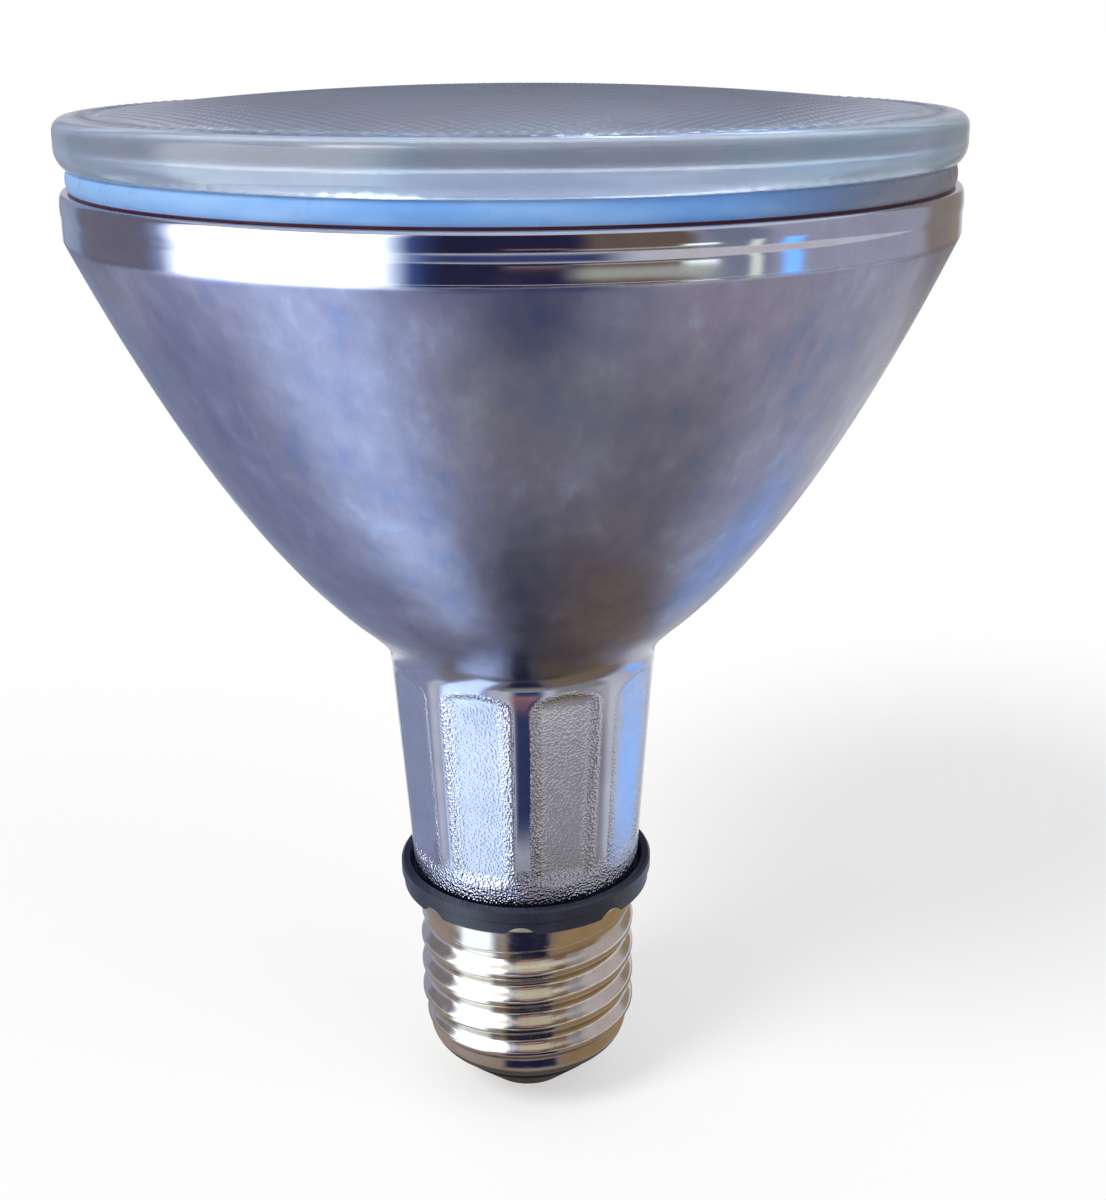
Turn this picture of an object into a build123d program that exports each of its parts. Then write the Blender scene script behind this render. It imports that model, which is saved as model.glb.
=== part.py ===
"""Reflector lamp with a ceramic metal halide burner, a pressed glass bowl and a screw cap.

Millimetres. The lamp's axis is +Z, from the contact at the bottom of the cap to the front lens.
The origin is the centre of the contact's lowest face, and -Y is the side that faces the viewer.
"""
import os
from math import asin, cos, degrees, hypot, radians, sin, sqrt

from build123d import *

# Centre contact and black glass of the cap
solder_height = 0.8
solder_flat_r = 1.5
solder_r = 2.6
solder_plug = 0.6
contact_r = 4.7
contact_thickness = 0.6
contact_edge = 0.8
contact_land = 0.15
eyelet_r = 0.65
seat_clearance = 0.05
insulator_tip_land = 0.5
insulator_tip_drop = 0.4
insulator_brim = 0.7
insulator_cone_height = 3.6
insulator_shoulder = 1.0
insulator_floor = 3.8
insulator_floor_r = 4.5
insulator_wall = 1.3

# Rolled screw shell, standard 27 mm size
thread_pitch = 3.629
thread_crest_r = 13.1
thread_depth = 0.97
crest_land = 0.3
crest_flat = 0.02
shell_wall = 0.25
shell_lip_width = 2.13
shell_lip_curve = 3.4
crease_swell = 0.12
crest_rise = 1.6
threaded_length = 13.1
band_drop = 0.2
band_blend = 1.0
band_length = 0.7
flare_length = 3.6
flare_spread = 1.1
flare_bow = 0.12
shell_rim = 1.3
groove_start_drop = 2.4
groove_start_turn = 90.0
groove_turns = 4.7
groove_pieces = 5
runout_turns = 0.4
runout_lift = 1.6

# Moulded collar between the cap and the glass
collar_wall = 0.8
collar_lip_overhang = 0.29
collar_lip_height = 1.45
collar_web = 1.0
collar_rise = 1.0
collar_dish = 0.7
collar_dish_width = 0.5
collar_skirt = 1.2
collar_gap = 0.1
collar_edge = 0.25
notch_count = 8
notch_width = 3.7
notch_height = 1.0
notch_turn = -93.0

# Pressed glass reflector
cement_gap = 2.45
stub_wall = 2.3
stub_length = 8.0
foot_r = 13.6
foot_round = 0.9
neck_length = 24.1
neck_slope = 0.0732
neck_wall = 2.6
neck_fillet = 9.0
throat_r = 20.0
throat_round = 1.5
bowl_curve = 43.3
bowl_wall = 2.7
rim_r = 48.05
rim_height = 4.8
rim_bead = 0.3
rim_bead_height = 2.2
rim_edge = 0.4
mouth_wall = 2.45
holder_step = 2.1

# Flat panels pressed into the neck
panel_count = 9
panel_angle = 31.0
panel_turn = -71.5
panel_width = 11.0
panel_foot = 4.5
panel_foot_curve = 2.5
panel_height = 21.0
panel_top_curve = 3.5
panel_sweep = 60.0

# Front lens and its seal
seal_height = 2.5
seal_inset = 0.65
seal_bulge = 0.3
spigot_clearance = 0.2
spigot_wall = 1.6
spigot_depth = 1.0
lens_overhang = 0.25
lens_edge_height = 2.0
lens_edge_depth = 0.9
lens_height = 5.05
lens_corner = 1.4
lens_ledge = 3.3
lens_sag = 2.45
lens_thickness = 3.0

# Quartz capsule, its pinch and its seat in the neck
capsule_r = 6.75
capsule_wall = 1.1
capsule_length = 30.0
capsule_floor = 2.6
capsule_tip_r = 1.2
capsule_tip_height = 1.4
pinch_width = 14.4
pinch_depth = 3.6
pinch_web = 2.8
pinch_edge = 1.5
pinch_height = 17.5
pinch_shoulder = 4.5
pinch_drop = 3.0
holder_thickness = 4.0
holder_clearance = 0.15
burner_cement_height = 2.4
burner_cement_edge = 1.2

# Wires, foils and getter
wire_r = 0.4
wire_spacing = 9.6
wire_bend = 1.2
foil_width = 2.0
foil_thickness = 0.1
foil_length = 12.0
foil_overlap = 1.5
pin_length = 8.0
getter_width = 1.2
getter_thickness = 0.3
getter_length = 4.0
getter_rise = 4.0

# Ceramic discharge vessel and its electrodes
vessel_r = 3.9
vessel_wall = 0.8
vessel_length = 11.0
vessel_plug = 1.3
vessel_edge = 0.6
capillary_r = 1.3
capillary_bore_r = 0.55
capillary_length = 8.5
feedthrough_r = 0.42
feedthrough_inside = 3.2
feedthrough_outside = 1.6
frit_depth = 2.0
frit_bead = 0.7
frit_bead_r = 1.1
electrode_coil_r = 0.45
electrode_coil_length = 5.5
electrode_r = 0.2
electrode_tip_r = 0.4
electrode_tip_length = 1.2
arc_gap = 5.0

# Leads in the cap
sleeve_r = 1.1
sleeve_clearance = 0.05
sleeve_length = 6.0
lead_bend = 2.0
live_lead_drop = 10.5
neutral_lead_drop = 6.0
shell_solder_r = 1.3
shell_solder_tip_r = 0.8
shell_solder_height = 1.4

# Radii that follow from the thread
thread_root_r = thread_crest_r - thread_depth
shell_crease_r = thread_root_r + crease_swell
shell_lip_r = thread_root_r - shell_lip_width
insulator_cone_r = shell_lip_r - insulator_brim
insulator_tip_r = contact_r + insulator_tip_land
band_r = thread_crest_r - band_drop
flare_r = band_r + flare_spread
stub_r = flare_r - shell_wall - cement_gap
stub_bore_r = stub_r - stub_wall

# Heights that follow from the sizes above
contact_z = solder_height
seat_z = contact_z + contact_thickness
tip_z = seat_z - insulator_tip_drop
cone_z = tip_z + insulator_cone_height
lip_z = cone_z + insulator_shoulder
floor_z = seat_z + insulator_floor
lip_centre_r = shell_crease_r - shell_lip_curve
crease_z = lip_z + sqrt(shell_lip_curve ** 2 - (shell_lip_r - lip_centre_r) ** 2)
thread_top_z = crease_z + threaded_length
band_z = thread_top_z + band_blend
flare_z = band_z + band_length
flare_top_z = flare_z + flare_length
shell_top_z = flare_top_z + shell_rim
foot_z = shell_top_z + collar_web
collar_top_z = foot_z + collar_rise
stub_z = foot_z - stub_length
bowl_z = foot_z + neck_length
rim_z = bowl_z + rim_r ** 2 / bowl_curve
rim_top_z = rim_z + rim_height
lens_z = rim_top_z + seal_height
lens_top_z = lens_z + lens_height
crown_z = lens_top_z + lens_sag
holder_z = foot_z + holder_step
holder_top_z = holder_z + holder_thickness


def wall_point(r):
    """Point one glass wall inside the bowl's outer parabola at radius r."""
    slope = bowl_curve / (2 * r)
    reach = bowl_wall / hypot(1, slope)
    return r - reach, bowl_z + r ** 2 / bowl_curve + slope * reach


# The mirror is the parabola through the inner wall at the throat and at the rim
throat_point = wall_point(throat_r)
rim_point = wall_point(rim_r)
mirror_curve = (rim_point[0] ** 2 - throat_point[0] ** 2) / (rim_point[1] - throat_point[1])
mirror_z = throat_point[1] - throat_point[0] ** 2 / mirror_curve
arc_z = mirror_z + mirror_curve / 4

# Radii at the mouth, all from the bowl's rim
mouth_r = rim_r - mouth_wall
spigot_r = mouth_r - spigot_clearance
seal_r = rim_r - seal_inset
lens_r = rim_r + lens_overhang
lens_dome_r = lens_r - lens_ledge

# Burner heights, with the arc at the mirror's focus
pinch_z = holder_z - pinch_drop
pinch_top_z = pinch_z + pinch_height
tube_z = pinch_top_z + pinch_shoulder
dome_z = tube_z + capsule_length
foil_z = pinch_z + (pinch_height - foil_length) / 2
foil_top_z = foil_z + foil_length
pin_top_z = foil_z + foil_overlap
pin_low_z = pin_top_z - pin_length
body_low_z = arc_z - vessel_length / 2
body_top_z = arc_z + vessel_length / 2
vessel_low_z = body_low_z - capillary_length
vessel_top_z = body_top_z + capillary_length
feed_low_z = vessel_low_z - feedthrough_outside
feed_top_z = vessel_top_z + feedthrough_outside
pin_x = wire_spacing / 2
joint_z = pin_low_z - neutral_lead_drop
joint_r = thread_root_r - shell_wall - seat_clearance - shell_solder_height


def neck_r(z):
    """Outer radius of the tapered neck at height z."""
    return foot_r + neck_slope * (z - foot_z - foot_round)


holder_r = neck_r(holder_z) - neck_wall - holder_clearance


def turned(edges):
    """Spin a closed outline, drawn with radius across and height up, about the lamp's axis."""
    return revolve(Plane.XZ * make_face(edges), Axis.Z)


def turned_points(*points):
    """Spin a straight-sided outline about the lamp's axis."""
    return turned(Polyline(*points, close=True).edges())


def rod(radius, low_z, top_z, x=0.0):
    """Upright round bar between two heights."""
    return Pos(x, 0, low_z) * Cylinder(radius, top_z - low_z, align=(Align.CENTER, Align.CENTER, Align.MIN))


def parabola(curve, vertex_z, r_from, r_to):
    """Exact arc of the parabola radius squared = curve x height, as one Bezier curve."""
    start = (r_from, vertex_z + r_from ** 2 / curve)
    end = (r_to, vertex_z + r_to ** 2 / curve)
    return Bezier(start, ((r_from + r_to) / 2, vertex_z + r_from * r_to / curve), end)


def cone_meets_parabola(foot_radius, curve, vertex_z):
    """Radius where the neck's taper, starting at foot_radius, runs into a parabola."""
    reach = foot_radius + neck_slope * (vertex_z - foot_z - foot_round)
    lean = neck_slope / curve
    return (1 - sqrt(1 - 4 * lean * reach)) / (2 * lean)


def circle_edge(solid, radius):
    """The circular edge of a turned solid whose radius is nearest to the given one."""
    return min(solid.edges().filter_by(GeomType.CIRCLE), key=lambda edge: abs(edge.radius - radius))


def wire(points, bend, radius=wire_r):
    """Round wire along straight runs joined by tangent bends."""
    path = FilletPolyline(*points, radius=bend)
    return sweep(Plane(origin=path @ 0, z_dir=path % 0) * Circle(radius), path=path)


def knuckle_groove():
    """Section of one thread groove: a root arc between two crest arcs, open to the outside."""
    half = thread_pitch / 2
    depth = thread_crest_r - thread_root_r
    knuckle = (half ** 2 + depth ** 2) / (4 * depth)
    crest_centre = thread_crest_r - knuckle
    meet = ((thread_crest_r + thread_root_r) / 2, half / 2)
    edge = (crest_centre + sqrt(knuckle ** 2 - (crest_land / 2) ** 2), half - crest_land / 2)
    bulge_z = (meet[1] + edge[1]) / 2
    bulge_r = crest_centre + sqrt(knuckle ** 2 - (half - bulge_z) ** 2)
    open_r = thread_crest_r + 2
    root_arc = ThreePointArc((meet[0], -meet[1]), (thread_root_r, 0), meet)
    upper_arc = ThreePointArc(meet, (bulge_r, bulge_z), edge)
    mouth = Polyline(edge, (open_r, edge[1]), (open_r, -edge[1]), (edge[0], -edge[1]))
    lower_arc = ThreePointArc((edge[0], -edge[1]), (bulge_r, -bulge_z), (meet[0], -meet[1]))
    return Plane.XZ * make_face([root_arc, upper_arc, *mouth.edges(), lower_arc])


def groove_cutters():
    """Helical groove of the rolled thread in equal pieces, and a run-out that climbs out of the metal."""
    section = knuckle_groove()
    turns = groove_turns / groove_pieces
    climb = thread_pitch * runout_turns
    lean = degrees(asin(runout_lift / hypot(runout_lift, climb)))
    groove = sweep(section, path=Helix(thread_pitch, thread_pitch * turns, thread_crest_r), is_frenet=True)
    runout = sweep(section, path=Helix(thread_pitch, climb, thread_crest_r, cone_angle=lean), is_frenet=True)
    start = Pos(0, 0, crease_z - groove_start_drop) * Rot(0, 0, groove_start_turn)
    pieces = [groove] * groove_pieces + [runout]
    return [start * Pos(0, 0, thread_pitch * turns * i) * Rot(0, 0, 360 * turns * i) * piece
            for i, piece in enumerate(pieces)]


def lip_arc(inset):
    """The shell's turned-in lip, from its inner end out to the crease under the thread."""
    curve = shell_lip_curve - inset
    reach = asin((shell_lip_r - lip_centre_r) / curve)
    middle = (radians(90) + reach) / 2
    start = (shell_lip_r, crease_z - curve * cos(reach))
    bulge = (lip_centre_r + curve * sin(middle), crease_z - curve * cos(middle))
    return ThreePointArc(start, bulge, (lip_centre_r + curve, crease_z))


def shell_form(inset, thread_r, top_z):
    """Turned solid inside one face of the shell, before the thread is rolled."""
    low_z = lip_z - shell_lip_curve
    lip = lip_arc(inset)
    start = lip @ 0
    crease = lip @ 1
    below_flare = (band_r - inset, flare_z)
    above_flare = (flare_r - inset, flare_top_z)
    mid_flare = ((band_r + flare_r) / 2 - inset - flare_bow, (flare_z + flare_top_z) / 2)
    bottom = Polyline((0, top_z), (0, low_z), (shell_lip_r, low_z), (start.X, start.Y))
    side = Polyline((crease.X, crease.Y), (thread_r, crease_z + crest_rise), (thread_r, thread_top_z),
                    (band_r - inset, band_z), below_flare)
    rim = Polyline(above_flare, (flare_r - inset, top_z), (0, top_z))
    return turned([*bottom.edges(), lip, *side.edges(),
                   ThreePointArc(below_flare, mid_flare, above_flare), *rim.edges()])


def make_screw_shell():
    """Plated sheet shell with a turned-in lip, a rolled thread, a plain band and a flared top."""
    shell = shell_form(0, thread_crest_r - crest_flat, shell_top_z)
    for cutter in groove_cutters():
        shell = shell - cutter
    return shell - shell_form(shell_wall, thread_root_r - shell_wall, shell_top_z + shell_rim)


def make_contact_solder(live_lead):
    """Flattened drop under the contact, with a plug that fills the eyelet round the lead."""
    plug_z = seat_z + solder_plug
    drop = turned_points((0, plug_z), (0, 0), (solder_flat_r, 0), (solder_r, contact_z),
                         (eyelet_r, contact_z), (eyelet_r, plug_z))
    return drop - live_lead


def make_centre_contact():
    return turned_points((eyelet_r, contact_z), (contact_r - contact_edge, contact_z),
                         (contact_r, seat_z - contact_land), (contact_r, seat_z), (eyelet_r, seat_z))


def make_cap_insulator():
    """Black glass that closes the cap and keeps the centre contact clear of the shell."""
    lip = lip_arc(shell_wall)
    lip_top = lip @ 0
    rim_top = lip @ 1
    recess_r = contact_r + seat_clearance
    outside = Polyline((eyelet_r, seat_z), (recess_r, seat_z), (recess_r, tip_z), (insulator_tip_r, tip_z),
                       (insulator_cone_r, cone_z), (shell_lip_r, lip_z), (lip_top.X, lip_top.Y))
    inside = Polyline((rim_top.X, rim_top.Y), (rim_top.X - insulator_wall, crease_z),
                      (insulator_floor_r, floor_z), (eyelet_r, floor_z), (eyelet_r, seat_z))
    return turned([*outside.edges(), lip, *inside.edges()])


def make_collar():
    """Moulded ring with a dished top, a rounded lip and arched notches in its skirt."""
    bore_r = stub_r + collar_gap
    cup_r = foot_r + collar_gap
    skirt_r = flare_r + collar_gap
    collar_r = skirt_r + collar_wall
    collar_lip_r = collar_r + collar_lip_overhang
    skirt_z = shell_top_z - collar_skirt
    lip_z = collar_top_z - collar_lip_height
    edge = collar_edge
    ring = turned_points((bore_r, shell_top_z), (skirt_r, shell_top_z), (skirt_r, skirt_z),
                         (collar_r - edge, skirt_z), (collar_r, skirt_z + edge),
                         (collar_r, lip_z - edge), (collar_lip_r, lip_z),
                         (collar_lip_r, collar_top_z - edge), (collar_lip_r - edge, collar_top_z),
                         (cup_r + collar_dish_width, collar_top_z), (cup_r, collar_top_z - collar_dish),
                         (cup_r, foot_z), (bore_r, foot_z))
    arch_r = (notch_width ** 2 / 4 + notch_height ** 2) / (2 * notch_height)
    arch = Pos(skirt_r, 0, skirt_z + notch_height - arch_r) * Rot(0, 90, 0) * Cylinder(
        arch_r, 2 * (collar_lip_r - skirt_r))
    for i in range(notch_count):
        ring = ring - Rot(0, 0, notch_turn + i * 360 / notch_count) * arch
    return ring


def panel_cutter():
    """Side profile of one flat neck panel with curved run-outs at its foot and top, in bar form."""
    low_z = foot_z + panel_foot
    high_z = low_z + panel_height
    flat_low = (neck_r(low_z) * cos(radians(panel_angle / 2)), low_z)
    flat_high = (neck_r(high_z) * cos(radians(panel_angle / 2)), high_z)
    foot = CenterArc((flat_low[0] + panel_foot_curve, low_z), panel_foot_curve, 180, panel_sweep)
    top = CenterArc((flat_high[0] + panel_top_curve, high_z), panel_top_curve, 180, -panel_sweep)
    foot_end = foot @ 1
    top_end = top @ 1
    outer_r = foot_r + panel_width / 2
    back = Polyline((foot_end.X, foot_end.Y), (outer_r, foot_end.Y), (outer_r, top_end.Y),
                    (top_end.X, top_end.Y))
    section = make_face([Line(flat_low, flat_high), foot, top, *back.edges()])
    return extrude(Plane.XZ * section, panel_width / 2, both=True)


def make_reflector():
    """Pressed glass: a parabolic bowl on a tapered neck with flat panels, and a stub for the cap."""
    join_r = cone_meets_parabola(foot_r, bowl_curve, bowl_z)
    join = (join_r, bowl_z + join_r ** 2 / bowl_curve)
    bead_z = rim_top_z - rim_edge - rim_bead_height
    seat_r = foot_r - foot_round
    low = Polyline((0, rim_top_z), (0, stub_z), (stub_r, stub_z), (stub_r, foot_z), (seat_r, foot_z))
    foot = CenterArc((seat_r, foot_z + foot_round), foot_round, -90, 90)
    bead = ThreePointArc((rim_r, bead_z), (rim_r + rim_bead, bead_z + rim_bead_height / 2),
                         (rim_r, bead_z + rim_bead_height))
    top = Polyline((rim_r, bead_z + rim_bead_height), (rim_r - rim_edge, rim_top_z), (0, rim_top_z))
    outside = turned([*low.edges(), foot, Line((foot_r, foot_z + foot_round), join),
                      parabola(bowl_curve, bowl_z, join_r, rim_r),
                      Line((rim_r, rim_z), (rim_r, bead_z)), bead, *top.edges()])
    outside = fillet(circle_edge(outside, join_r), neck_fillet)
    cutter = panel_cutter()
    for i in range(panel_count):
        outside = outside - Rot(0, 0, panel_turn + i * 360 / panel_count) * cutter
    return outside - make_bowl_cavity()


def make_bowl_cavity():
    """Air inside the reflector: stub bore, seat for the holder, neck bore and the mirror's parabola."""
    bore_foot_r = foot_r - neck_wall
    throat = cone_meets_parabola(bore_foot_r, mirror_curve, mirror_z)
    seat = (neck_r(holder_z) - neck_wall, holder_z)
    margin = 1.0
    low = Polyline((0, rim_top_z + margin), (0, stub_z - margin), (stub_bore_r, stub_z - margin),
                   (stub_bore_r, holder_z), seat, (throat, mirror_z + throat ** 2 / mirror_curve))
    top = Polyline((mouth_r, mirror_z + mouth_r ** 2 / mirror_curve), (mouth_r, rim_top_z + margin),
                   (0, rim_top_z + margin))
    cavity = turned([*low.edges(), parabola(mirror_curve, mirror_z, throat, mouth_r), *top.edges()])
    return fillet(circle_edge(cavity, throat), throat_round)


def make_lens_seal():
    side = ThreePointArc((seal_r - seal_bulge, rim_top_z), (seal_r, (rim_top_z + lens_z) / 2),
                         (seal_r - seal_bulge, lens_z))
    rest = Polyline((seal_r - seal_bulge, lens_z), (spigot_r, lens_z), (spigot_r, rim_top_z),
                    (seal_r - seal_bulge, rim_top_z))
    return turned([side, *rest.edges()])


def make_front_lens():
    """Domed cover glass with a rolled edge and a spigot that centres it in the bowl's mouth."""
    dome = (lens_dome_r ** 2 + lens_sag ** 2) / (2 * lens_sag)
    under = dome - lens_thickness
    centre_z = crown_z - dome
    inner_r = spigot_r - spigot_wall
    spigot_z = rim_top_z - spigot_depth
    edge_r = lens_r - lens_edge_depth
    edge_curve = (lens_edge_depth ** 2 + lens_edge_height ** 2) / (2 * lens_edge_depth)
    edge_turn = degrees(asin(lens_edge_height / edge_curve))
    side = Polyline((inner_r, spigot_z), (spigot_r, spigot_z), (spigot_r, lens_z), (edge_r, lens_z))
    roll = CenterArc((lens_r - edge_curve, lens_z + lens_edge_height), edge_curve, -edge_turn, edge_turn)
    wall = Line((lens_r, lens_z + lens_edge_height), (lens_r, lens_top_z - lens_corner))
    corner = CenterArc((lens_r - lens_corner, lens_top_z - lens_corner), lens_corner, 0, 90)
    ledge = Line((lens_r - lens_corner, lens_top_z), (lens_dome_r, lens_top_z))
    half = lens_dome_r / 2
    face = ThreePointArc((lens_dome_r, lens_top_z), (half, centre_z + sqrt(dome ** 2 - half ** 2)), (0, crown_z))
    core = Line((0, crown_z), (0, crown_z - lens_thickness))
    half = inner_r / 2
    back = ThreePointArc((0, crown_z - lens_thickness), (half, centre_z + sqrt(under ** 2 - half ** 2)),
                         (inner_r, centre_z + sqrt(under ** 2 - inner_r ** 2)))
    bore = Line((inner_r, centre_z + sqrt(under ** 2 - inner_r ** 2)), (inner_r, spigot_z))
    return turned([*side.edges(), roll, wall, corner, ledge, face, core, back, bore])


def make_capsule(inserts):
    """Quartz tube with a domed top, an exhaust tip and a flat pinch that grips foils and wires."""
    tip_z = dome_z + sqrt(capsule_r ** 2 - capsule_tip_r ** 2)
    tube = rod(capsule_r, tube_z, dome_z) + Pos(0, 0, dome_z) * Sphere(capsule_r)
    tip = Pos(0, 0, tip_z) * Cone(capsule_tip_r, capsule_tip_r / 2, capsule_tip_height,
                                  align=(Align.CENTER, Align.CENTER, Align.MIN))
    shoulder = loft([Pos(0, 0, pinch_top_z) * Rectangle(pinch_width, pinch_depth),
                     Pos(0, 0, tube_z) * Circle(capsule_r)])
    bars = Pos((pinch_width - pinch_edge) / 2) * Rectangle(pinch_edge, pinch_depth)
    section = Rectangle(pinch_width, pinch_web) + bars + mirror(bars, Plane.YZ)
    pinch = extrude(Pos(0, 0, pinch_z) * section, pinch_height)
    inner_r = capsule_r - capsule_wall
    lean = radians(45)
    hollow = turned_points((0, tube_z - capsule_floor), (inner_r, tube_z), (inner_r, dome_z),
                           (inner_r * cos(lean), dome_z + inner_r * sin(lean)), (0, dome_z + inner_r))
    glass = tube + tip + shoulder + pinch - hollow
    for insert in inserts:
        glass = glass - insert
    return glass


def make_burner_holder():
    """Ceramic disc on the neck's inner step, with a slot that the pinch passes through."""
    slot = Box(pinch_width + 2 * holder_clearance, pinch_depth + 2 * holder_clearance, holder_thickness,
               align=(Align.CENTER, Align.CENTER, Align.MIN))
    return rod(holder_r, holder_z, holder_top_z) - Pos(0, 0, holder_z) * slot


def make_burner_cement(capsule, inserts):
    """Low mound of cement on the holder that grips the pinch."""
    crown_r = holder_r - burner_cement_edge * 2
    top_z = holder_top_z + burner_cement_height
    mound = turned_points((0, holder_top_z), (holder_r, holder_top_z),
                          (holder_r, holder_top_z + burner_cement_edge), (crown_r, top_z), (0, top_z))
    for piece in [capsule, *inserts]:
        mound = mound - piece
    return mound


def make_foil(x):
    return Pos(x, -wire_r - foil_thickness / 2, foil_z) * Box(
        foil_width, foil_thickness, foil_length, align=(Align.CENTER, Align.CENTER, Align.MIN))


def make_short_wire():
    """From the live foil to the lower end of the discharge vessel."""
    weld_z = feed_low_z - wire_r
    return wire([(-pin_x, 0, foil_top_z - foil_overlap), (-pin_x, 0, weld_z), (feedthrough_r, 0, weld_z)],
                wire_bend)


def make_long_wire():
    """From the neutral foil up beside the discharge vessel and over to its upper end."""
    weld_z = feed_top_z + wire_r
    return wire([(pin_x, 0, foil_top_z - foil_overlap), (pin_x, 0, weld_z), (-feedthrough_r, 0, weld_z)],
                wire_bend)


def make_getter():
    return Pos(pin_x, wire_r + getter_thickness / 2, vessel_low_z + getter_rise) * Box(
        getter_width, getter_thickness, getter_length)


def make_discharge_vessel():
    """Translucent alumina tube closed by thick end plugs, with a capillary through each plug."""
    body = rod(vessel_r, body_low_z, body_top_z)
    body = chamfer(body.edges().filter_by(GeomType.CIRCLE), vessel_edge)
    body = body + rod(capillary_r, vessel_low_z, vessel_top_z)
    cavity = rod(vessel_r - vessel_wall, body_low_z + vessel_plug, body_top_z - vessel_plug)
    return body - cavity - rod(capillary_bore_r, vessel_low_z, vessel_top_z)


def make_electrode():
    """Lower electrode: molybdenum coil in the capillary, then a tungsten rod with a coiled tip."""
    coil_z = vessel_low_z + feedthrough_inside
    rod_z = coil_z + electrode_coil_length
    tip_z = arc_gap_low() - electrode_tip_length
    return (rod(electrode_coil_r, coil_z, rod_z) + rod(electrode_r, rod_z, tip_z)
            + rod(electrode_tip_r, tip_z, arc_gap_low()))


def arc_gap_low():
    """Height of the lower electrode's tip."""
    return arc_z - arc_gap / 2


def make_frit():
    """Glass frit round the lower feedthrough, with a flat bead outside the capillary."""
    seal = rod(capillary_bore_r, vessel_low_z, vessel_low_z + frit_depth)
    bead = rod(frit_bead_r, vessel_low_z - frit_bead, vessel_low_z)
    return seal + bead - rod(feedthrough_r, vessel_low_z - frit_bead, vessel_low_z + frit_depth)


def upper(piece):
    """The same piece at the discharge vessel's upper end."""
    return mirror(piece, Plane(origin=(0, 0, arc_z), z_dir=(0, 0, 1)))


def make_live_lead():
    """From the live pin in to the axis, and down through the eyelet to the solder."""
    slope = live_lead_drop / pin_x
    lead = wire([(-pin_x - wire_r, 0, pin_low_z + wire_r * slope), (0, 0, pin_low_z - live_lead_drop),
                 (0, 0, contact_z / 2)], lead_bend)
    return split(lead, bisect_by=Plane.XY.offset(pin_low_z), keep=Keep.BOTTOM)


def make_neutral_lead():
    """From the neutral pin out to the solder joint on the inside of the shell."""
    return wire([(pin_x, 0, pin_low_z), (pin_x, 0, joint_z), (joint_r, 0, joint_z)], lead_bend)


def make_shell_solder():
    """Drop of solder between the end of the neutral lead and the inside of the shell."""
    return Pos(joint_r, 0, joint_z) * Rot(0, 90, 0) * Cone(
        shell_solder_tip_r, shell_solder_r, shell_solder_height, align=(Align.CENTER, Align.CENTER, Align.MIN))


def make_model():
    """Every piece of the lamp by name."""
    foils = {name: make_foil(side * pin_x) for name, side in (("foil_live", -1), ("foil_neutral", 1))}
    pins = {name: rod(wire_r, pin_low_z, pin_top_z, side * pin_x)
            for name, side in (("pin_live", -1), ("pin_neutral", 1))}
    wires = {"frame_wire_short": make_short_wire(), "frame_wire_long": make_long_wire()}
    inserts = [*foils.values(), *pins.values(), *wires.values()]
    capsule = make_capsule(inserts)
    live_lead = make_live_lead()
    sleeve = rod(sleeve_r, floor_z, floor_z + sleeve_length) - rod(
        wire_r + sleeve_clearance, floor_z, floor_z + sleeve_length)
    cement = rod(flare_r - shell_wall, flare_top_z, shell_top_z) - rod(stub_r, flare_top_z, shell_top_z)
    feedthrough = rod(feedthrough_r, feed_low_z, vessel_low_z + feedthrough_inside)
    electrode = make_electrode()
    frit = make_frit()
    return {
        "reflector": make_reflector(),
        "front_lens": make_front_lens(),
        "lens_seal": make_lens_seal(),
        "insulating_collar": make_collar(),
        "screw_shell": make_screw_shell(),
        "cap_insulator": make_cap_insulator(),
        "centre_contact": make_centre_contact(),
        "contact_solder": make_contact_solder(live_lead),
        "cap_cement": cement,
        "burner_holder": make_burner_holder(),
        "burner_cement": make_burner_cement(capsule, inserts),
        "burner_capsule": capsule,
        **foils,
        **pins,
        **wires,
        "getter": make_getter(),
        "discharge_vessel": make_discharge_vessel(),
        "electrode_lower": electrode,
        "electrode_upper": upper(electrode),
        "feedthrough_lower": feedthrough,
        "feedthrough_upper": upper(feedthrough),
        "frit_lower": frit,
        "frit_upper": upper(frit),
        "live_lead": live_lead,
        "live_sleeve": sleeve,
        "neutral_lead": make_neutral_lead(),
        "shell_solder": make_shell_solder(),
    }


os.makedirs("parts", exist_ok=True)
for name, piece in make_model().items():
    export_step(piece, f"parts/{name}.step")
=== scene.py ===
from math import asin, cos, hypot, pi, radians, sin, sqrt

import bpy
from mathutils import Matrix, Vector
from mathutils.geometry import delaunay_2d_cdt


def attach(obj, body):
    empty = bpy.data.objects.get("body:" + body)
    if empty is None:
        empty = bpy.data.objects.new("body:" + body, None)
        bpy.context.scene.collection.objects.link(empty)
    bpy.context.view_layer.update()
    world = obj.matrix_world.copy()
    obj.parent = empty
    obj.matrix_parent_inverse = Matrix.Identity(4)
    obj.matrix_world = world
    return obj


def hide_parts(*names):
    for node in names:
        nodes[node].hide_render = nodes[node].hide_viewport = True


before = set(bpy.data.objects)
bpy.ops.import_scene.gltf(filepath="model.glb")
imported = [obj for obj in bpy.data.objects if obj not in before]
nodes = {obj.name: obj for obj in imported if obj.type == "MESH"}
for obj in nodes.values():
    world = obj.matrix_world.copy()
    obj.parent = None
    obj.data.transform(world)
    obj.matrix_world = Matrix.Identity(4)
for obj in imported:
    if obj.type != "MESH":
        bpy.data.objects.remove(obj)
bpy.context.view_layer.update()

MM = 0.001


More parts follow.
